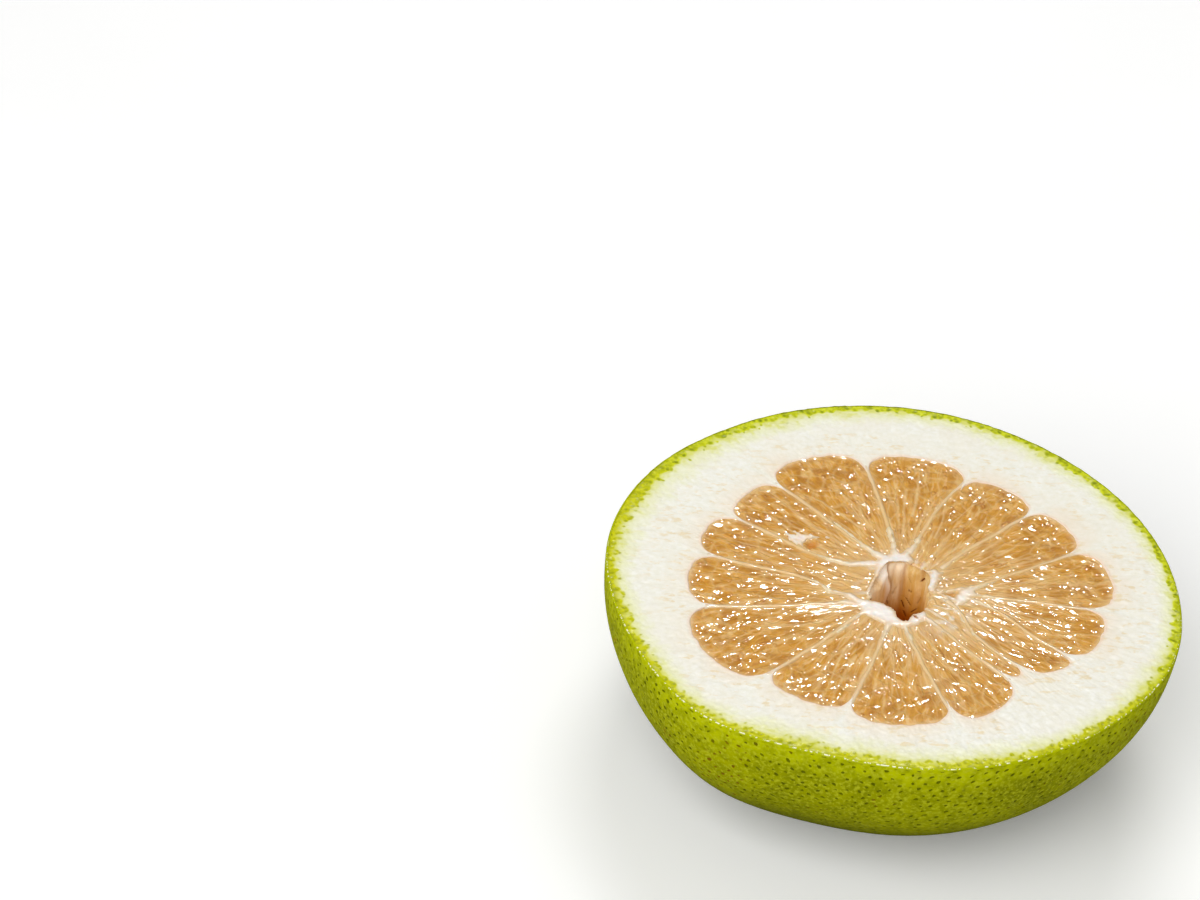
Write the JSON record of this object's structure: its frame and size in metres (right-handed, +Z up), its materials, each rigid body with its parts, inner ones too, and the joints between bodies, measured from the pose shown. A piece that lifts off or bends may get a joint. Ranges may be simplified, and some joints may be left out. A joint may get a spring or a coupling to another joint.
{
  "type": "halved oroblanco",
  "caption": "Round, green-skinned citrus half with thick white pith, amber flesh in segments and a hollow core, resting on its skin with the cut face up.",
  "frame": {"origin": "on the resting plane, under the middle of the half's bounding box", "axes": "+Z up out of the cut face, which is level; X and Y lie in the cut face"},
  "size_m": [0.1098, 0.11, 0.038],
  "materials": {
    "peel": "waxy yellow-green rind, pitted by oil glands",
    "pith": "soft, spongy and white, slightly damp where it is cut",
    "flesh": "wet, glassy amber juice sacs",
    "membrane": "thin, pale and wet"
  },
  "bodies": {
    "root": {"oroblanco_half": "peel"}
  },
  "joints": []
}
